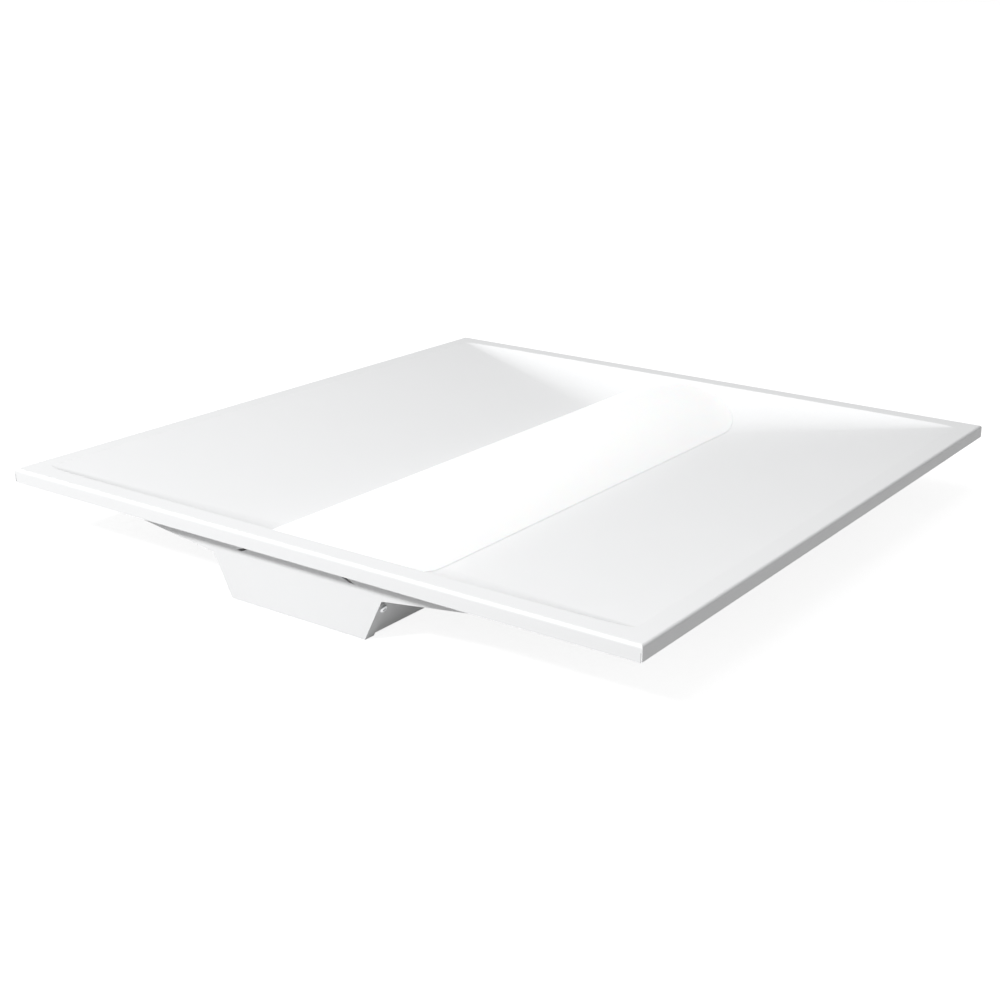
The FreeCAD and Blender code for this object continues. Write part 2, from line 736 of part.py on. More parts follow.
def make_led_board(name, side):
    """Cut one LED board with its screw holes."""
    body = new_body(name)
    low = (f"{side}{BOARD_X} - board_width / 2", f"-{BOARD_END}")
    high = (f"{side}{BOARD_X} + board_width / 2", BOARD_END)
    pad(body, rectangle(body, "XY", low, high, TRAY_TOP), "board_thick")
    for x, y in board_screw_spots(side):
        drill(body, SCREW_HOLE, "4 * board_thick", x, y, TRAY_TOP)
    return keep(body)


def make_led_chips(name, side):
    """Set a row of LED packages on one board."""
    body = new_body(name)
    low = (f"{side}{BOARD_X} - chip_side / 2", f"-{CHIP_ROW} / 2 - chip_side / 2")
    high = (f"{side}{BOARD_X} + chip_side / 2", f"-{CHIP_ROW} / 2 + chip_side / 2")
    sketch = rectangle(body, "XY", low, high, f"{TRAY_TOP} + board_thick")
    chip = pad(body, sketch, "chip_height")
    DOCUMENT.recompute()
    row = body.newObject("PartDesign::LinearPattern", f"{name}_row")
    row.Originals = [chip]
    row.Direction = (sketch, ["V_Axis"])
    row.setExpression("Length", bound(CHIP_ROW))
    row.setExpression("Occurrences", bound("chip_count"))
    body.Tip = row
    return keep(body)


# Driver and wiring

DRIVER_LOW = CHANNEL_INSIDE
DRIVER_TOP = f"({TRAY_TOP} - sheet_wall - driver_room)"
TERMINAL_LOW = f"({DRIVER_LOW} + driver_wall)"
TERMINAL_HEIGHT = f"({DRIVER_TOP} - driver_wall - terminal_room - {TERMINAL_LOW})"
LEAD_LEVEL = f"({TERMINAL_LOW} + {TERMINAL_HEIGHT} / 2)"


def driver_end(sign):
    """Y of one end of the driver's case."""
    return f"(driver_place_y {sign} driver_length / 2)"


def driver_screw_spots():
    """List the places of the driver's fixing screws."""
    return [("driver_place_x", f"{driver_end(sign)} {sign} driver_ear / 2") for sign in "-+"]


def make_driver_base():
    """Fold the driver's base with an ear at each end."""
    body = new_body("driver_base")
    wall_top = f"({DRIVER_TOP} - driver_wall - seat_gap)"
    half = [
        ("driver_width / 2", DRIVER_LOW),
        ("driver_width / 2", wall_top),
        ("(driver_width / 2 - driver_wall)", wall_top),
        ("(driver_width / 2 - driver_wall)", f"{DRIVER_LOW} + driver_wall"),
    ]
    right = [(f"driver_place_x + {x}", z) for x, z in half]
    left = [(f"driver_place_x - {x}", z) for x, z in reversed(half)]
    profile = outline(body, "XZ", right + left, "-driver_place_y")
    pad(body, profile, "driver_length", both=True)
    ear_low = ("driver_place_x - driver_ear", f"{driver_end('-')} - driver_ear")
    ear_high = ("driver_place_x + driver_ear", f"{driver_end('+')} + driver_ear")
    pad(body, rectangle(body, "XY", ear_low, ear_high, DRIVER_LOW), "driver_wall")
    for x, y in driver_screw_spots():
        drill(body, SCREW_HOLE, "4 * driver_wall", x, y, DRIVER_LOW)
    return keep(body)


def make_driver_lid():
    """Fold the driver's lid, whose skirts sit inside the base's walls."""
    body = new_body("driver_lid")
    skirt_out = "(driver_width / 2 - driver_wall - seat_gap)"
    skirt_in = "(driver_width / 2 - 2 * driver_wall - seat_gap)"
    under = f"({DRIVER_TOP} - driver_wall)"
    half = [
        (skirt_in, under),
        (skirt_in, f"{under} - lid_skirt"),
        (skirt_out, f"{under} - lid_skirt"),
        (skirt_out, under),
        ("driver_width / 2", under),
        ("driver_width / 2", DRIVER_TOP),
    ]
    right = [(f"driver_place_x + {x}", z) for x, z in half]
    left = [(f"driver_place_x - {x}", z) for x, z in reversed(half)]
    pad(body, outline(body, "XZ", right + left, "-driver_place_y"), "driver_length", both=True)
    return keep(body)


def block(name, centre_x, low_y, high_y, width, low_z, height):
    """Pad a plain block and return its body."""
    body = new_body(name)
    low = (f"{centre_x} - ({width}) / 2", low_y)
    high = (f"{centre_x} + ({width}) / 2", high_y)
    pad(body, rectangle(body, "XY", low, high, low_z), height)
    return body


def bore_leads(body, y):
    """Bore a block's two lead entries from a face at Y."""
    for side in "-+":
        x = f"driver_place_x {side} lead_spacing / 2"
        drill(body, "lead_radius + seat_gap / 2", "2 * lead_depth", x, y, LEAD_LEVEL, (1, 0, 0), "90")


def make_driver_terminals():
    """Set a push-in terminal block in each end of the driver's case."""
    width = "driver_width - 4 * driver_wall - 4 * seat_gap"
    blocks = []
    for sign, back in (("-", "+"), ("+", "-")):
        end = driver_end(sign)
        inner = f"{end} {back} terminal_length"
        low_y, high_y = (end, inner) if sign == "-" else (inner, end)
        spans = (low_y, high_y, width, TERMINAL_LOW, TERMINAL_HEIGHT)
        terminal = block("driver_terminal", "driver_place_x", *spans)
        bore_leads(terminal, end)
        blocks.append(terminal)
    return group("driver_terminals", blocks)


def make_disconnect():
    """Set the two halves of the supply disconnect end to end on the channel's back."""
    plug_end = f"{DISCONNECT_Y} + disconnect_length"
    socket_end = f"{DISCONNECT_Y} - disconnect_length"
    height = f"{TERMINAL_HEIGHT} - disconnect_drop"
    spans = (f"{DISCONNECT_Y} + seat_gap / 2", plug_end, "disconnect_width", CHANNEL_INSIDE, height)
    plug = block("disconnect_plug", "driver_place_x", *spans)
    bore_leads(plug, plug_end)
    keep(plug)
    width = "disconnect_width + 2 * driver_wall"
    height = f"{height} + driver_wall"
    spans = (socket_end, f"{DISCONNECT_Y} - seat_gap / 2", width, CHANNEL_INSIDE, height)
    socket = block("disconnect_socket", "driver_place_x", *spans)
    bore_leads(socket, socket_end)
    return keep(socket)


def make_board_connector():
    """Set the connector that carries the leads through the tray to the boards."""
    face = f"{CONNECTOR_Y} - connector_length / 2"
    height = f"{TRAY_TOP} + connector_rise - {CHANNEL_INSIDE}"
    spans = (face, f"{face} + connector_length", "connector_width", CHANNEL_INSIDE, height)
    connector = block("board_connector", "driver_place_x", *spans)
    bore_leads(connector, face)
    return keep(connector)


def make_lead(name, side, low_y, high_y):
    """Run one insulated lead straight between two entries."""
    body = new_body(name)
    length = f"({high_y}) - ({low_y}) + 2 * lead_depth - 2 * seat_gap"
    centre = (f"driver_place_x {side} lead_spacing / 2", LEAD_LEVEL)
    middle = f"-(({high_y}) + ({low_y})) / 2"
    pad(body, disc(body, "XZ", centre, "lead_radius", middle), length, both=True)
    return keep(body)


def make_leads():
    """Run the supply leads to the driver and the board leads from it."""
    plug_face = f"({DISCONNECT_Y} + disconnect_length)"
    connector_face = f"({CONNECTOR_Y} - connector_length / 2)"
    make_lead("supply_lead_live", "-", plug_face, driver_end("-"))
    make_lead("supply_lead_neutral", "+", plug_face, driver_end("-"))
    make_lead("board_lead_plus", "-", driver_end("+"), connector_face)
    make_lead("board_lead_minus", "+", driver_end("+"), connector_face)


# Lens springs

def make_lens_springs():
    """Bend the leaf springs that grip the lens's legs, three on each side of the tray."""
    springs = []
    arm = "(aperture_half_width - lens_side_play - lens_wall - seat_gap)"
    grip = f"{TRAY_TOP} + spring_height * 0.7"
    for side in ("-", ""):
        for place_y in (f"-{SPRING_PITCH}", "0", SPRING_PITCH):
            spring = new_body("lens_spring")
            points = [
                (f"{side}({arm} - spring_foot)", TRAY_TOP),
                (f"{side}{arm}", TRAY_TOP),
                (f"{side}{arm}", grip),
                (f"{side}({arm} - spring_tip)", f"{TRAY_TOP} + spring_height"),
                (f"{side}({arm} - spring_tip - spring_wall)", f"{TRAY_TOP} + spring_height"),
                (f"{side}({arm} - spring_wall)", grip),
                (f"{side}({arm} - spring_wall)", f"{TRAY_TOP} + spring_wall"),
                (f"{side}({arm} - spring_foot)", f"{TRAY_TOP} + spring_wall"),
            ]
            pad(spring, outline(spring, "XZ", points), "spring_width", both=True)
            place(spring, y=place_y)
            springs.append(spring)
    return group("lens_springs", springs)


# Access cover

HINGE_DEPTH = f"({CHANNEL_SKIN} - seat_gap - hinge_barrel)"
HINGE_HEIGHT = f"({ACCESS_TOP} + access_lap + hinge_barrel)"
HINGE_X = f"-{leaning(HINGE_HEIGHT, HINGE_DEPTH)}"
COVER_SCREW_HEIGHT = "(access_low - access_lap / 2)"


def knuckle(body, low_y, high_y):
    """Add one hinge barrel about the cover's pin."""
    middle = f"-(({low_y}) + ({high_y})) / 2"
    length = f"({high_y}) - ({low_y})"
    pad(body, disc(body, "XZ", (HINGE_X, HINGE_HEIGHT), "hinge_barrel", middle), length, both=True)


def knuckle_web(body, low_y, high_y, near, far, low, high):
    """Join a hinge barrel to the sheet between two depths and two heights."""
    points = [
        (f"-{leaning(low, near)}", low),
        (f"-{leaning(low, far)}", low),
        (f"-{leaning(high, far)}", high),
        (f"-{leaning(high, near)}", high),
    ]
    middle = f"-(({low_y}) + ({high_y})) / 2"
    pad(body, outline(body, "XZ", points, middle), f"({high_y}) - ({low_y})", both=True)


def hinge_stations(fixed):
    """List the spans of the fixed knuckles or of the cover's own."""
    starts = ("-1.5", "1.5") if not fixed else ("-2.5", "0", "2.5")
    spans = []
    for start in starts:
        middle = f"({ACCESS_Y} + {start} * knuckle_length)"
        spans.append((f"{middle} - knuckle_length / 2 + knuckle_gap", f"{middle} + knuckle_length / 2"))
    return spans


def bore_hinge(body):
    """Bore all barrels about the hinge pin."""
    bore = disc(body, "XZ", (HINGE_X, HINGE_HEIGHT), "hinge_bore", f"-{ACCESS_Y}")
    cut(body, bore, "access_length", both=True)


def open_access(body):
    """Cut the wiring opening in the channel's left side and add its fixed knuckles."""
    low = (f"{ACCESS_Y} - access_length / 2", "access_low")
    high = (f"{ACCESS_Y} + access_length / 2", ACCESS_TOP)
    window = rectangle(body, "YZ", low, high, f"-{CHANNEL_MOUTH} - access_lap")
    cut(body, window, f"{CHANNEL_MOUTH} - {STANDOFF_X}", back=True)
    web_low = f"{HINGE_HEIGHT} - hinge_barrel * 0.6"
    web_high = f"{HINGE_HEIGHT} + hinge_barrel * 0.6"
    web_far = f"{CHANNEL_SKIN} + sheet_wall / 2"
    for low_y, high_y in hinge_stations(True):
        knuckle(body, low_y, high_y)
        knuckle_web(body, low_y, high_y, HINGE_DEPTH, web_far, web_low, web_high)
    bore_hinge(body)
    drill_cover_screw(body, "cover_screw_play", CHANNEL_SKIN)


def drill_cover_screw(body, radius, depth):
    """Drill the hole of the cover's screw through the leaning sheet at a depth."""
    x = f"-{leaning(COVER_SCREW_HEIGHT, depth)}"
    length = "4 * sheet_wall"
    drill(body, radius, length, x, ACCESS_Y, COVER_SCREW_HEIGHT, (0, 1, 0), LEANING_SIDES[1][1])


def make_access_cover():
    """Fold the hinged cover of the wiring opening."""
    body = new_body("access_cover")
    low = "(access_low - access_lap)"
    high = f"({ACCESS_TOP} + access_lap)"
    points = [
        (f"-{leaning(low)}", low),
        (f"-{leaning(low, 'sheet_wall')}", low),
        (f"-{leaning(high, 'sheet_wall')}", high),
        (f"-{leaning(high)}", high),
    ]
    leaf = outline(body, "XZ", points, f"-{ACCESS_Y}")
    pad(body, leaf, "access_length + 2 * access_lap", both=True)
    web_low = f"({ACCESS_TOP} + access_lap / 2)"
    for low_y, high_y in hinge_stations(False):
        knuckle(body, low_y, high_y)
        knuckle_web(body, low_y, high_y, "0", "sheet_wall", web_low, HINGE_HEIGHT)
    bore_hinge(body)
    drill_cover_screw(body, SCREW_HOLE, "0")
    return keep(body)


def make_access_pin():
    """Turn the hinge pin of the access cover."""
    body = new_body("access_hinge_pin")
    length = "6 * knuckle_length - 2 * knuckle_gap"
    end = disc(body, "XZ", (HINGE_X, HINGE_HEIGHT), "hinge_pin", f"-{ACCESS_Y}")
    pad(body, end, length, both=True)
    return keep(body)


def make_cover_screw():
    """Set the captive screw of the access cover."""
    screw = make_screw("cover_screw", "screw_length * 0.75")
    x = f"-{leaning(COVER_SCREW_HEIGHT, '-0.05')}"
    place(screw, x, ACCESS_Y, COVER_SCREW_HEIGHT, (0, 1, 0), LEANING_SIDES[1][1])
    return keep(screw)


# Grid clips

PIVOT_X = f"({OUTER} - clip_pivot_inset)"
PIVOT_Z = "(face_height - clip_pivot_drop)"
CLIP_SPOTS = {
    "front_left": ("-", "-"),
    "front_right": ("", "-"),
    "rear_left": ("-", ""),
    "rear_right": ("", ""),
}


def make_grid_clip(name, side, end):
    """Roll and bend a clip that flips out over the ceiling grid."""
    body = new_body(f"grid_clip_{name}")
    middle = f"-({end}{CLIP_Y})"
    pivot = f"{side}{PIVOT_X}"
    pad(body, disc(body, "XZ", (pivot, PIVOT_Z), "clip_barrel", middle), "clip_width", both=True)
    low = f"({PIVOT_Z} - clip_barrel)"
    points = [
        (pivot, low),
        (pivot, f"{low} + clip_wall"),
        (f"{side}({PIVOT_X} - clip_reach)", f"{low} + clip_wall"),
        (f"{side}({PIVOT_X} - clip_reach)", f"{low} - clip_hook"),
        (f"{side}({PIVOT_X} - clip_reach + clip_wall)", f"{low} - clip_hook"),
        (f"{side}({PIVOT_X} - clip_reach + clip_wall)", low),
    ]
    pad(body, outline(body, "XZ", points, middle), "clip_width", both=True)
    cut(body, disc(body, "XZ", (pivot, PIVOT_Z), "clip_bore", middle), "2 * clip_width", both=True)
    hole_x = f"{side}({PIVOT_X} - clip_reach / 2)"
    drill(body, "clip_hole", "4 * clip_wall", hole_x, f"{end}{CLIP_Y}", f"{low} + clip_wall / 2")
    return keep(body)


def make_clip_bracket(name, side, end):
    """Fold the bracket that holds a grid clip under the pan's flange."""
    body = new_body(f"clip_bracket_{name}")
    half = "(clip_width / 2 + bracket_gap)"
    top = "(face_height - sheet_wall - seat_gap)"
    ear_low = f"({PIVOT_Z} - clip_barrel - clip_wall)"
    y = f"{end}{CLIP_Y}"
    right = [
        (f"{y} + {half} + clip_wall", top),
        (f"{y} + {half} + clip_wall", ear_low),
        (f"{y} + {half}", ear_low),
        (f"{y} + {half}", f"{top} - clip_wall"),
    ]
    left = [
        (f"{y} - {half}", f"{top} - clip_wall"),
        (f"{y} - {half}", ear_low),
        (f"{y} - {half} - clip_wall", ear_low),
        (f"{y} - {half} - clip_wall", top),
    ]
    profile = outline(body, "YZ", right + left, f"{side}{PIVOT_X}")
    pad(body, profile, "bracket_foot", both=True)
    bore = disc(body, "XZ", (f"{side}{PIVOT_X}", PIVOT_Z), "clip_bore", f"-({y})")
    cut(body, bore, "2 * clip_width", both=True)
    return keep(body)


def make_clip_pins():
    """Set a pin through each bracket."""
    pins = []
    for side, end in CLIP_SPOTS.values():
        pin = new_body("clip_pin")
        length = "clip_width + 2 * bracket_gap + 3 * clip_wall"
        centre = (f"{side}{PIVOT_X}", PIVOT_Z)
        pad(pin, disc(pin, "XZ", centre, "clip_pin", f"-({end}{CLIP_Y})"), length, both=True)
        pins.append(pin)
    return group("clip_pins", pins)


def check_document():
    """Stop if any object has failed or any piece is empty or broken."""
    DOCUMENT.recompute()
    for item in DOCUMENT.Objects:
        if "Invalid" in item.State or "Error" in item.State:
            raise RuntimeError(f"{item.Label} failed: {item.State}")
    for piece in NODES:
        if piece.Shape.isNull() or not piece.Shape.isValid():
            raise RuntimeError(f"{piece.Label} has no valid shape")


def write_parts():
    """Write each node's shape to its own file."""
    os.makedirs("parts", exist_ok=True)
    for piece in NODES:
        piece.Shape.exportStep(f"parts/{piece.Label}.step")
        print(f"{piece.Label}: {len(piece.Shape.Solids)} solids, {piece.Shape.Volume:.1f} mm3")


fill_sheet()
make_reflector_pan()
make_lens()
make_channel()
make_end_plate("end_plate_front", "0")
make_end_plate("end_plate_rear", "180")
make_end_plate_screws()
make_led_tray()
make_tray_standoffs()
make_screw_group("tray_screws", tray_screw_spots(), TRAY_TOP)
for board_side, board_sign in (("left", "-"), ("right", "")):
    make_led_board(f"led_board_{board_side}", board_sign)
    make_led_chips(f"led_chips_{board_side}", board_sign)
BOARD_SPOTS = board_screw_spots("-") + board_screw_spots("")
make_screw_group("board_screws", BOARD_SPOTS, f"{TRAY_TOP} + board_thick", "board_screw_length")
make_driver_base()
make_driver_lid()
EAR_TOP = f"{DRIVER_LOW} + driver_wall"
make_screw_group("driver_screws", driver_screw_spots(), EAR_TOP, "driver_screw_length")
make_driver_terminals()
make_disconnect()
make_board_connector()
make_leads()
make_screw_group("ground_screw", [("ground_screw_x", GROUND_SCREW_Y)], CHANNEL_INSIDE, "2 * sheet_wall")
make_lens_springs()
make_access_cover()
make_access_pin()
make_cover_screw()
for clip_name, (clip_side, clip_end) in CLIP_SPOTS.items():
    make_grid_clip(clip_name, clip_side, clip_end)
    make_clip_bracket(clip_name, clip_side, clip_end)
make_clip_pins()
check_document()
write_parts()
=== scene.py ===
"""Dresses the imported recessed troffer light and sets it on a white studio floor.

Everything is in metres in the CAD frame: +Z out of the luminous face, +Y along the lens and
+X across it. The fixture lies on its back, as photographed.
"""

import logging
import math
from dataclasses import dataclass, field
from enum import Enum
from functools import cache

import bmesh
import bpy
from mathutils import Matrix, Vector

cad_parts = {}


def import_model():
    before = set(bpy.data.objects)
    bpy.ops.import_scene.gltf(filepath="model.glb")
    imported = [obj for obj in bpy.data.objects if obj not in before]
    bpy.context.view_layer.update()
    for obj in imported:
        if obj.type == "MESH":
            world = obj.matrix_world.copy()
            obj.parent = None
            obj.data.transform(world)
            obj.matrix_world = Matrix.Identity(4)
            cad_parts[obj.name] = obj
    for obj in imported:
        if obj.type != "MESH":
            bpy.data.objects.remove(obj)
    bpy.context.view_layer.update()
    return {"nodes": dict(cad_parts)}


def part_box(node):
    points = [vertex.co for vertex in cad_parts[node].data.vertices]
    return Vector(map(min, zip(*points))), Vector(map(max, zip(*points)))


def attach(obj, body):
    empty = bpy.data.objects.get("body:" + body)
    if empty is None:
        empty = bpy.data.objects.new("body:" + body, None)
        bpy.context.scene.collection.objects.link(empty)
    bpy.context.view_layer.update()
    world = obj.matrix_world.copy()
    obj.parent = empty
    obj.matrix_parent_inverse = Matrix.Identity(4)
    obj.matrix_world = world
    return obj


LOG = logging.getLogger("troffer")
MM = 0.001

SMOOTH_ANGLE = math.radians(40)

Colour = tuple[float, float, float]
Place = tuple[float, float, float]
Direction = tuple[float, float, float]


# Shader maths


class Signal:
    """A shader socket or a number that takes part in Python arithmetic."""

    def __init__(self, shader: "Shader", source: bpy.types.NodeSocket | float) -> None:
        """Wrap a socket or number of one shader."""
        self.shader = shader
        self.source = source

    def _math(self, operation: str, *others: "Signal | float") -> "Signal":
        """Add a Math node that works on this signal and others."""
        values = {index: other for index, other in enumerate((self, *others))}
        return self.shader.node("ShaderNodeMath", {"operation": operation}, values)

    def __add__(self, other: "Signal | float") -> "Signal":
        """Add."""
        return self._math("ADD", other)

    def __sub__(self, other: "Signal | float") -> "Signal":
        """Subtract."""
        return self._math("SUBTRACT", other)

    def __rsub__(self, other: float) -> "Signal":
        """Subtract from a number."""
        return self._math("MULTIPLY_ADD", -1.0, other)

    def __mul__(self, other: "Signal | float") -> "Signal":
        """Multiply."""
        return self._math("MULTIPLY", other)

    __radd__ = __add__
    __rmul__ = __mul__

    def size(self) -> "Signal":
        """Return the absolute value."""
        return self._math("ABSOLUTE")

    def under(self, limit: "Signal | float") -> "Signal":
        """Return 1 where this is less than the limit."""
        return self._math("LESS_THAN", limit)

    def most(self, other: "Signal | float") -> "Signal":
        """Return the greater of two."""
        return self._math("MAXIMUM", other)

    def root(self) -> "Signal":
        """Return the square root."""
        return self._math("SQRT")

    def repeat(self, pitch: float) -> "Signal":
        """Return the distance from the nearest multiple of the pitch."""
        return self._math("PINGPONG", pitch / 2)

    def step(self, low: float, high: float) -> "Signal":
        """Rise smoothly from 0 at low to 1 at high."""
        values = {"Value": self, "From Min": low, "From Max": high}
        return self.shader.node("ShaderNodeMapRange", {"interpolation_type": "SMOOTHSTEP"}, values)


class Shader:
    """One material's node tree around a Principled BSDF."""

    def __init__(self, name: str, **constants: float | Colour) -> None:
        """Start a material.

        Args:
            name: the material's name.
            constants: Principled sockets with one value all over, underscores for spaces.
        """
        self.material = bpy.data.materials.new(name)
        self.material.use_nodes = True
        self.tree = self.material.node_tree
        self.surface = self.tree.nodes["Principled BSDF"]
        for key, value in constants.items():
            label = key.replace("_", " ").title().replace("Ior", "IOR")
            self._feed(self.surface.inputs[label], value)

    def node(self, kind: str, settings: dict[str, object], values: dict[int | str, object],
             out: int | str = 0) -> Signal:
        """Add a node.

        Args:
            kind: the node's type.
            settings: properties, set before the sockets.
            values: what each input takes: a Signal, a number or a colour.
            out: the output socket that is returned.

        Returns:
            The chosen output.
        """
        node = self.tree.nodes.new(kind)
        for key, value in settings.items():
            setattr(node, key, value)
        for key, value in values.items():
            self._feed(node.inputs[key], value)
        return Signal(self, node.outputs[out])

    def _feed(self, socket: bpy.types.NodeSocket, value: object) -> None:
        """Link or set one input."""
        if isinstance(value, Signal):
            value = value.source
        if isinstance(value, bpy.types.NodeSocket):
            self.tree.links.new(value, socket)
        elif isinstance(value, tuple) and len(value) == 3 and socket.type == "RGBA":
            socket.default_value = (*value, 1.0)
        else:
            socket.default_value = value

    def place(self) -> Signal:
        """Return the point's place in its object's coordinates, the CAD frame's at rest."""
        return self.node("ShaderNodeTexCoord", {}, {}, "Object")

    def axes(self) -> tuple[Signal, Signal, Signal]:
        """Return the x, y and z of the point's place."""
        split = self.node("ShaderNodeSeparateXYZ", {}, {0: self.place()})
        outputs = split.source.node.outputs
        return Signal(self, outputs[0]), Signal(self, outputs[1]), Signal(self, outputs[2])

    def noise(self, size: float, detail: float = 2.0, along_y: float = 1.0) -> Signal:
        """Return noise about 0.5.

        Args:
            size: the size of its features, in metres.
            detail: how many finer layers it has.
            along_y: its scale along Y, less than 1 where the features are drawn out to lines.

        Returns:
            The noise.
        """
        vector = self.place()
        if along_y != 1.0:
            vector = self.node("ShaderNodeMapping", {}, {0: vector, "Scale": (1.0, along_y, 1.0)})
        values = {"Vector": vector, "Scale": 1.0 / size, "Detail": detail, "Roughness": 0.55}
        return self.node("ShaderNodeTexNoise", {}, values)

    def mix(self, factor: Signal | float, low: Signal | Colour, high: Signal | Colour) -> Signal:
        """Mix two colours."""
        return self.node("ShaderNodeMix", {"data_type": "RGBA"}, {0: factor, 6: low, 7: high}, 2)

    def shade(self, colour: Colour, depth: float, amount: Signal) -> Signal:
        """Darken a colour by a depth where the amount is 1."""
        return self.mix(amount, colour, tuple(part * (1.0 - depth) for part in colour))

    def bump(self, height: Signal, metres: float) -> None:
        """Raise the surface by a height whose full range is a length in metres."""
        self.feed("Normal", self.node("ShaderNodeBump", {}, {"Height": height, "Distance": metres}))

    def feed(self, socket: str, value: Signal) -> None:
        """Drive one input of the surface."""
        self._feed(self.surface.inputs[socket], value)


# Finishes


@dataclass(frozen=True)
class Finish:
    """A finish that can make its material."""

    name: str
    colour: Colour

    @cache
    def material(self) -> bpy.types.Material:
        """Return the finish's material, made on first use."""
        return self.make().material

    def make(self) -> Shader:
        """Build the material."""
        raise NotImplementedError


@dataclass(frozen=True)
class PowderCoat(Finish):
    """Fine-textured powder coat on pressed steel."""

    roughness: float = 0.42
    grain: float = 0.0011
    grain_height: float = 0.000014
    wave: float = 6.0
    wave_share: float = 0.6
    cloud: float = 0.16
    fleck: float = 0.0009
    fleck_from: float = 0.62
    fleck_full: float = 0.78
    mottling: float = 0.03
    gloss_patch: float = 0.03
    gloss_spread: float = 0.12

    def make(self) -> Shader:
        """Mottle the coat, vary its gloss and raise its orange peel."""
        shader = Shader(self.name, specular_ior_level=0.35)
        cloud = shader.noise(self.cloud, 3.0)
        fleck = shader.noise(self.fleck, 1.0).step(self.fleck_from, self.fleck_full)
        tone = cloud * 0.5 + fleck * 0.5
        gloss = shader.noise(self.gloss_patch) * self.gloss_spread
        shader.feed("Base Color", shader.shade(self.colour, self.mottling, tone))
        shader.feed("Roughness", gloss + (self.roughness - self.gloss_spread / 2))
        shader.bump(self.height(shader), self.depth())
        return shader

    def height(self, shader: Shader) -> Signal:
        """Return the orange peel: fine grain on longer waves."""
        waves = shader.noise(self.grain * self.wave) * self.wave_share
        return shader.noise(self.grain, 3.0) + waves

    def depth(self) -> float:
        """Return the bump's full height in metres."""
        return self.grain_height


@dataclass(frozen=True)
class WeldedCoat(PowderCoat):
    """Powder coat over rows of spot welds that run along Y."""

    rows: tuple[float, ...] = ()
    pitch: float = 0.050
    weld: float = 0.0028
    weld_floor: float = 0.7
    sink: float = 0.00012

    def height(self, shader: Shader) -> Signal:
        """Sink a shallow dish with a soft rim at each weld."""
        x, y, _ = shader.axes()
        height = super().height(shader) * (self.grain_height / self.sink)
        for row in self.rows:
            across = x.size() - row
            along = y.repeat(self.pitch)
            reach = (across * across + along * along).root()
            height = height + reach.step(self.weld * self.weld_floor, self.weld)
        return height

    def depth(self) -> float:
        """Return the bump's full height in metres."""
        return self.sink


@dataclass(frozen=True)
class FrostedAcrylic(Finish):
    """Extruded frosted diffuser with a weak glow of its own."""

    glow: float = 0.21
    scatter: float = 0.15
    scatter_depth: float = 0.004
    line: float = 0.0016
    line_scale: float = 0.01
    line_tone: float = 0.015
    frost: float = 0.0005
    relief: float = 0.00001

    def make(self) -> Shader:
        """Give the diffuser faint extrusion lines along Y and a satin frost."""
        shader = Shader(self.name, subsurface_weight=self.scatter,
                        subsurface_scale=self.scatter_depth, specular_ior_level=0.4,
                        emission_color=self.colour, emission_strength=self.glow)
        lines = shader.noise(self.line, 2.0, self.line_scale)
        frost = shader.noise(self.frost, 2.0)
        shader.feed("Base Color", shader.shade(self.colour, self.line_tone, lines))
        shader.feed("Roughness", frost * 0.1 + 0.38)
        shader.bump(lines * 0.7 + frost * 0.5, self.relief)
        return shader


@dataclass(frozen=True)
class PlatedSteel(Finish):
    """Zinc plate or bare spring steel with rolling lines and a soft spangle."""

    roughness: float = 0.3
    spangle: float = 0.006
    line: float = 0.0007
    line_scale: float = 0.06
    line_height: float = 0.000006
    mottling: float = 0.22

    def make(self) -> Shader:
        """Vary the plate's tone by crystal and its gloss along the rolling lines."""
        shader = Shader(self.name, metallic=1.0)
        cells = {"Vector": shader.place(), "Scale": 1.0 / self.spangle}
        crystal = shader.node("ShaderNodeTexVoronoi", {}, cells, "Color")
        tone = shader.node("ShaderNodeRGBToBW", {}, {0: crystal})
        lines = shader.noise(self.line, 3.0, self.line_scale)
        dull = tone * 0.6 + lines * 0.4
        shader.feed("Base Color", shader.shade(self.colour, self.mottling, dull))
        shader.feed("Roughness", lines * 0.2 + tone * 0.08 + (self.roughness - 0.1))
        shader.bump(lines, self.line_height)
        return shader


@dataclass(frozen=True)
class BoardMask(Finish):
    """White solder mask over raised copper tracks along the board."""

    track_pitch: float = 0.004
    track: float = 0.0026
    track_height: float = 0.00003
    cloud: float = 0.004
    shading: float = 0.06

    def make(self) -> Shader:
        """Show the tracks as low ridges, a little darker than the rest of the mask."""
        shader = Shader(self.name, specular_ior_level=0.5)
        x, _, _ = shader.axes()
        ridge = x.repeat(self.track_pitch).under(self.track / 2)
        cloud = shader.noise(self.cloud)
        tone = ridge * 0.6 + cloud * 0.4
        shader.feed("Base Color", shader.shade(self.colour, self.shading, tone))
        shader.feed("Roughness", cloud * 0.15 + 0.3)
        shader.bump(ridge + cloud * 0.2, self.track_height)
        return shader


@dataclass(frozen=True)
class LedPackage(Finish):
    """White LED package with a yellow phosphor window in its top."""

    phosphor: Colour = (0.86, 0.66, 0.08)
    row: float = 0.032
    pitch: float = 0.020
    window: float = 0.0013
    blur: float = 0.0001
    grain: float = 0.0002
    grain_depth: float = 0.25

    def make(self) -> Shader:
        """Paint the window about each chip's centre."""
        shader = Shader(self.name, specular_ior_level=0.6)
        x, y, _ = shader.axes()
        across = (x.size() - self.row).size()
        along = (y + self.pitch / 2).repeat(self.pitch)
        glass = across.most(along).step(self.window + self.blur, self.window - self.blur)
        phosphor = shader.shade(self.phosphor, self.grain_depth, shader.noise(self.grain))
        shader.feed("Base Color", shader.mix(glass, self.colour, phosphor))
        shader.feed("Roughness", 0.35 - glass * 0.2)
        return shader


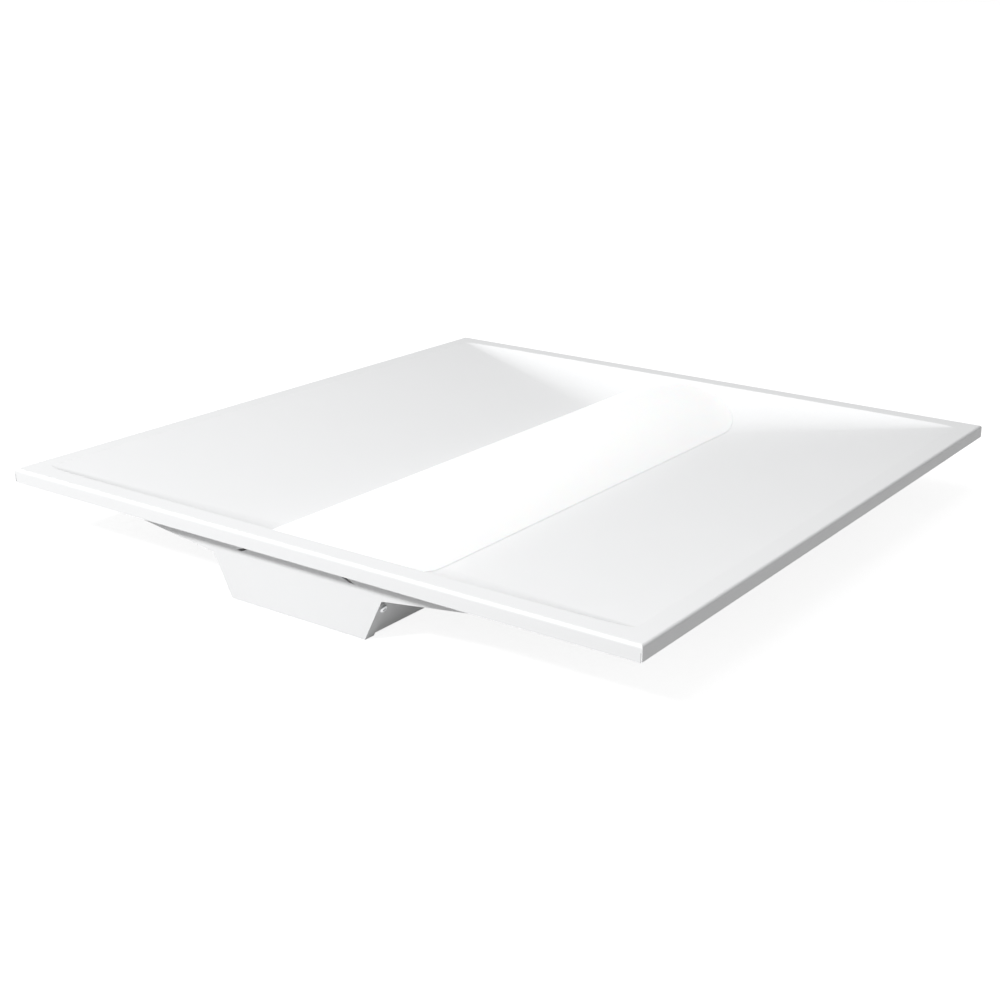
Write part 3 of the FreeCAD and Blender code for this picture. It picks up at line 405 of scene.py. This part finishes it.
@dataclass(frozen=True)
class MouldedPlastic(Finish):
    """Moulded nylon or wire insulation with a faint spark texture."""

    roughness: float = 0.45
    cloud: float = 0.006
    mottling: float = 0.1
    gloss_spread: float = 0.16
    spark: float = 0.0004
    spark_height: float = 0.00001

    def make(self) -> Shader:
        """Mottle the moulding and raise its spark texture."""
        shader = Shader(self.name, specular_ior_level=0.45)
        cloud = shader.noise(self.cloud)
        gloss = cloud * self.gloss_spread + (self.roughness - self.gloss_spread / 2)
        shader.feed("Base Color", shader.shade(self.colour, self.mottling, cloud))
        shader.feed("Roughness", gloss)
        shader.bump(shader.noise(self.spark, 3.0), self.spark_height)
        return shader


FIXTURE_WHITE = (0.90, 0.905, 0.91)
WHITE_ENAMEL = PowderCoat("enamel_white", FIXTURE_WHITE)
CHANNEL_ENAMEL = WeldedCoat("enamel_channel", FIXTURE_WHITE, rows=(0.089,))
TIN = PlatedSteel("solder_tin", (0.78, 0.78, 0.77), 0.25, 0.0008)
TRAY_ENAMEL = PowderCoat("enamel_tray", (0.93, 0.93, 0.93), 0.5)
DRIVER_ENAMEL = PowderCoat("enamel_driver", (0.82, 0.83, 0.84), 0.35, 0.0016)
FROSTED = FrostedAcrylic("acrylic_frosted", (0.95, 0.95, 0.95))
ZINC = PlatedSteel("steel_zinc", (0.72, 0.73, 0.74))
SPRING = PlatedSteel("steel_spring", (0.55, 0.56, 0.58), 0.22, 0.02)
BOARD = BoardMask("solder_mask", (0.90, 0.90, 0.87))
CHIP = LedPackage("led_package", (0.86, 0.86, 0.84))
NYLON = MouldedPlastic("nylon_natural", (0.75, 0.75, 0.72))
PLUG = MouldedPlastic("plug_moulding", (0.80, 0.80, 0.76), 0.38)
BLACK_WIRE = MouldedPlastic("sleeve_black", (0.02, 0.02, 0.02), 0.4)
WHITE_WIRE = MouldedPlastic("sleeve_white", (0.85, 0.85, 0.82), 0.4)
RED_WIRE = MouldedPlastic("sleeve_red", (0.50, 0.02, 0.02), 0.4)
BLUE_WIRE = MouldedPlastic("sleeve_blue", (0.02, 0.06, 0.35), 0.4)


# Sub-assemblies


@dataclass
class Assembly:
    """A sub-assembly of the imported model: the finish of each of its CAD nodes."""

    nodes: dict[str, bpy.types.Object]
    body: str = "housing"
    finishes: dict[str, Finish] = field(default_factory=dict)

    def build(self) -> None:
        """Make the pieces that the CAD leaves out."""

    def dress(self) -> None:
        """Give every CAD node of the sub-assembly its finish."""
        for name, finish in self.finishes.items():
            materials = self.nodes[name].data.materials
            materials.clear()
            materials.append(finish.material())
            LOG.info("%s is dressed in %s", name, finish.name)

    def add(self, name: str, mesh: bmesh.types.BMesh, finish: Finish, slot: str,
            bevel: float = 0.0) -> None:
        """Add a new piece that rides on the sub-assembly's body.

        Args:
            name: the piece's name.
            mesh: its shape, freed here.
            finish: what it is made of.
            slot: not used.
            bevel: radius of its rounded edges, in metres.
        """
        if bevel:
            bmesh.ops.bevel(mesh, geom=mesh.edges[:], offset=bevel, segments=2, profile=0.5,
                            affect="EDGES", material=-1, offset_type="OFFSET")
        piece = finish_mesh(name, mesh, SMOOTH_ANGLE)
        piece.data.materials.append(finish.material())
        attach(piece, self.body)
        LOG.info("%s is built, %d faces", name, len(piece.data.polygons))


@dataclass
class SheetMetal(Assembly):
    """Reflector pan, channel, end plates and their screws."""

    finishes: dict[str, Finish] = field(default_factory=lambda: {
        "reflector_pan": WHITE_ENAMEL,
        "channel": CHANNEL_ENAMEL,
        "end_plate_front": WHITE_ENAMEL,
        "end_plate_rear": WHITE_ENAMEL,
        "end_plate_screws": ZINC,
    })


@dataclass
class BarrelLens(Assembly):
    """The frosted diffuser."""

    body: str = "lens"
    finishes: dict[str, Finish] = field(default_factory=lambda: {"lens": FROSTED})


@dataclass
class LightEngine(Assembly):
    """LED tray, boards, chips and lens springs, with the boards' solder pads and headers."""

    pad_width: float = 2.2 * MM
    pad_length: float = 3.0 * MM
    pad_height: float = 0.12 * MM
    pad_round: float = 0.04 * MM
    pad_pitch: float = 4.0 * MM
    pad_count: int = 4
    pads_from_end: float = 3.5 * MM
    header_width: float = 7.0 * MM
    header_length: float = 9.0 * MM
    header_height: float = 2.6 * MM
    header_wall: float = 0.7 * MM
    header_depth: float = 1.56 * MM
    header_from_connector: float = 10.0 * MM
    finishes: dict[str, Finish] = field(default_factory=lambda: {
        "led_tray": TRAY_ENAMEL,
        "tray_standoffs": ZINC,
        "tray_screws": ZINC,
        "led_board_left": BOARD,
        "led_board_right": BOARD,
        "led_chips_left": CHIP,
        "led_chips_right": CHIP,
        "board_screws": ZINC,
        "board_connector": NYLON,
        "lens_springs": SPRING,
    })

    def build(self) -> None:
        """Add solder pads at both ends of each board and one header on its middle line."""
        for side in ("left", "right"):
            low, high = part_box(f"led_board_{side}")
            middle = (low[0] + high[0]) / 2
            self.solder_pads(side, middle, low[1], high[1], high[2])
            self.mount_header(side, middle, high[2])

    def solder_pads(self, side: str, middle: float, near: float, far: float, level: float) -> None:
        """Add a row of tinned pads at each end of a board."""
        mesh = bmesh.new()
        for end in (near + self.pads_from_end, far - self.pads_from_end):
            for index in range(self.pad_count):
                across = (index - (self.pad_count - 1) / 2) * self.pad_pitch
                centre = (middle + across, end, level + self.pad_height / 2)
                add_block(mesh, centre, (self.pad_width, self.pad_length, self.pad_height))
        self.add(f"solder_pads_{side}", mesh, TIN, "zinc_steel", self.pad_round)

    def mount_header(self, side: str, middle: float, level: float) -> None:
        """Add a board's open-topped wire header."""
        _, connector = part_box("board_connector")
        place_y = connector[1] + self.header_from_connector
        centre = (middle, place_y, level + self.header_height / 2)
        mesh = bmesh.new()
        add_block(mesh, centre, (self.header_width, self.header_length, self.header_height))
        top = max(mesh.faces, key=lambda face: face.calc_center_median().z)
        bmesh.ops.inset_region(mesh, faces=[top], thickness=self.header_wall)
        top = max(mesh.faces, key=lambda face: (face.calc_center_median().z, -face.calc_area()))
        cup = bmesh.ops.extrude_discrete_faces(mesh, faces=[top])["faces"]
        sunk = [vert for face in cup for vert in face.verts]
        bmesh.ops.translate(mesh, verts=sunk, vec=(0.0, 0.0, -self.header_depth))
        self.add(f"board_header_{side}", mesh, PLUG, "plug_plastic")


@dataclass
class DriverBay(Assembly):
    """Driver, its terminals and leads, and the supply disconnect."""

    finishes: dict[str, Finish] = field(default_factory=lambda: {
        "driver_base": DRIVER_ENAMEL,
        "driver_lid": DRIVER_ENAMEL,
        "driver_screws": ZINC,
        "driver_terminals": NYLON,
        "disconnect_plug": PLUG,
        "disconnect_socket": NYLON,
        "supply_lead_live": BLACK_WIRE,
        "supply_lead_neutral": WHITE_WIRE,
        "board_lead_plus": RED_WIRE,
        "board_lead_minus": BLUE_WIRE,
        "ground_screw": ZINC,
    })


@dataclass
class AccessDoor(Assembly):
    """The hinged cover of the wiring opening."""

    body: str = "access_cover"
    finishes: dict[str, Finish] = field(default_factory=lambda: {
        "access_cover": WHITE_ENAMEL,
        "access_hinge_pin": ZINC,
        "cover_screw": ZINC,
    })


@dataclass
class GridClips(Assembly):
    """The four clips that flip out over the ceiling grid, with brackets and pins."""

    corners: tuple[str, ...] = ("front_left", "front_right", "rear_left", "rear_right")

    def __post_init__(self) -> None:
        """Name the finishes of the clips and brackets of all corners."""
        self.finishes = {"clip_pins": ZINC}
        for corner in self.corners:
            self.finishes[f"grid_clip_{corner}"] = ZINC
            self.finishes[f"clip_bracket_{corner}"] = ZINC


# Studio


class Side(Enum):
    """Where a lamp stands round the fixture."""

    FRONT = "front"
    TOP = "top"


@dataclass(frozen=True)
class Lamp:
    """One soft rectangular lamp aimed at the fixture."""

    side: Side
    place: Place
    width: float
    height: float
    power: float

    def light(self, target: Vector) -> None:
        """Add the lamp."""
        data = bpy.data.lights.new(f"lamp_{self.side.value}", "AREA")
        data.shape = "RECTANGLE"
        data.size, data.size_y = self.width, self.height
        data.energy = self.power
        lamp = bpy.data.objects.new(data.name, data)
        lamp.location = self.place
        lamp.rotation_euler = (target - Vector(self.place)).to_track_quat("-Z", "Y").to_euler()
        bpy.context.scene.collection.objects.link(lamp)


@dataclass
class Studio:
    """White floor, soft lamps and the camera of the photograph."""

    floor_half: float = 30.0
    floor_clearance: float = 0.0002
    floor_glow: float = 0.86
    floor_tone: float = 0.42
    bright_from: float = 0.6
    bright_by: float = 1.6
    sky: float = 0.345
    lamps: tuple[Lamp, ...] = (
        Lamp(Side.FRONT, (-0.7, -2.3, 2.1), 0.6, 0.5, 75.0),
        Lamp(Side.TOP, (0.0, 0.0, 2.4), 1.4, 1.4, 9.0),
    )
    focal_px: float = 1523.947
    principal_px: float = 579.99
    image_px: float = 1000.0
    sensor_mm: float = 36.0
    near_clip: float = 0.01
    far_clip: float = 100.0
    eye: Place = (0.73862, -1.03833, 0.44968)
    right: Direction = (0.832576, 0.553723, 0.014415)
    down: Direction = (0.191749, -0.263703, -0.945353)
    ahead: Direction = (-0.519663, 0.789843, -0.325729)

    def build(self, target: Vector) -> None:
        """Set the stage round the fixture."""
        self.lay_floor()
        self.set_world()
        for lamp in self.lamps:
            lamp.light(target)
        self.place_camera()
        bpy.context.scene.view_settings.view_transform = "Standard"

    def lay_floor(self) -> None:
        """Lay the floor that looks white and keeps the fixture's shadow."""
        mesh = bmesh.new()
        bmesh.ops.create_grid(mesh, x_segments=1, y_segments=1, size=self.floor_half)
        bmesh.ops.translate(mesh, verts=mesh.verts, vec=(0.0, 0.0, -self.floor_clearance))
        floor = finish_mesh("studio_floor", mesh)
        shader = Shader("floor_white", base_color=(self.floor_tone,) * 3, roughness=1.0,
                        specular_ior_level=0.0, emission_strength=1.0)
        path = shader.node("ShaderNodeLightPath", {}, {}).source.node.outputs
        seen = Signal(shader, path["Is Camera Ray"]).most(Signal(shader, path["Is Glossy Ray"]))
        seen = seen.most(Signal(shader, path["Is Transmission Ray"]))
        x, y, _ = shader.axes()
        distance = (x * x + y * y).root()
        far = distance.step(self.bright_from, self.bright_by)
        glow = far * (1.0 - self.floor_glow) + self.floor_glow
        shader.feed("Emission Color", seen * glow)
        below = shader.node("ShaderNodeNewGeometry", {}, {}, "Backfacing")
        clear = shader.node("ShaderNodeBsdfTransparent", {}, {})
        sides = {0: below, 1: Signal(shader, shader.surface.outputs[0]), 2: clear}
        both = shader.node("ShaderNodeMixShader", {}, sides)
        shader.tree.links.new(both.source, shader.tree.nodes["Material Output"].inputs["Surface"])
        floor.data.materials.append(shader.material)

    def set_world(self) -> None:
        """Light the scene evenly and look white behind the floor's edge."""
        world = bpy.data.worlds.new("studio")
        world.use_nodes = True
        tree = world.node_tree
        path = tree.nodes.new("ShaderNodeLightPath")
        glow = tree.nodes.new("ShaderNodeMapRange")
        glow.inputs["To Min"].default_value = self.sky
        glow.inputs["To Max"].default_value = 1.0
        tree.links.new(path.outputs["Is Camera Ray"], glow.inputs["Value"])
        tree.links.new(glow.outputs[0], tree.nodes["Background"].inputs["Strength"])
        tree.nodes["Background"].inputs["Color"].default_value = (1.0, 1.0, 1.0, 1.0)
        bpy.context.scene.world = world

    def place_camera(self) -> None:
        """Put the camera where the photograph was taken from."""
        data = bpy.data.cameras.new("photo_camera")
        data.sensor_fit = "HORIZONTAL"
        data.sensor_width = self.sensor_mm
        data.lens = self.focal_px / self.image_px * self.sensor_mm
        data.shift_x = (self.image_px / 2 - self.principal_px) / self.image_px
        data.clip_start = self.near_clip
        data.clip_end = self.far_clip
        camera = bpy.data.objects.new("photo_camera", data)
        columns = (Vector(self.right), -Vector(self.down), -Vector(self.ahead))
        camera.matrix_world = Matrix.Translation(self.eye) @ Matrix(columns).transposed().to_4x4()
        bpy.context.scene.collection.objects.link(camera)
        bpy.context.scene.camera = camera


def add_block(mesh: bmesh.types.BMesh, centre: Place, size: tuple[float, float, float]) -> None:
    """Add a block of a size about a centre."""
    place = Matrix.Translation(centre) @ Matrix.Diagonal((*size, 1.0))
    bmesh.ops.create_cube(mesh, size=1.0, matrix=place)


def finish_mesh(name: str, mesh: bmesh.types.BMesh, smooth_angle: float = 0.0) -> bpy.types.Object:
    """Make an object at the origin from a bmesh.

    Args:
        name: the object's name.
        mesh: the shape, freed here.
        smooth_angle: edges flatter than this, in radians, shade smoothly.

    Returns:
        The new object.
    """
    bmesh.ops.recalc_face_normals(mesh, faces=mesh.faces)
    for face in mesh.faces:
        face.smooth = smooth_angle > 0
    for edge in mesh.edges:
        edge.smooth = edge.calc_face_angle(math.pi) < smooth_angle
    data = bpy.data.meshes.new(name)
    mesh.to_mesh(data)
    mesh.free()
    made = bpy.data.objects.new(name, data)
    bpy.context.scene.collection.objects.link(made)
    return made


def main() -> None:
    """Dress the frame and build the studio."""
    logging.basicConfig(level=logging.INFO, format="%(name)s: %(message)s")
    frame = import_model()
    for kind in (SheetMetal, BarrelLens, LightEngine, DriverBay, AccessDoor, GridClips):
        assembly = kind(frame["nodes"])
        assembly.build()
        assembly.dress()
    Studio().build(Vector((0.0, 0.0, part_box("lens")[1][2] / 2)))


if __name__ == "__main__":
    main()
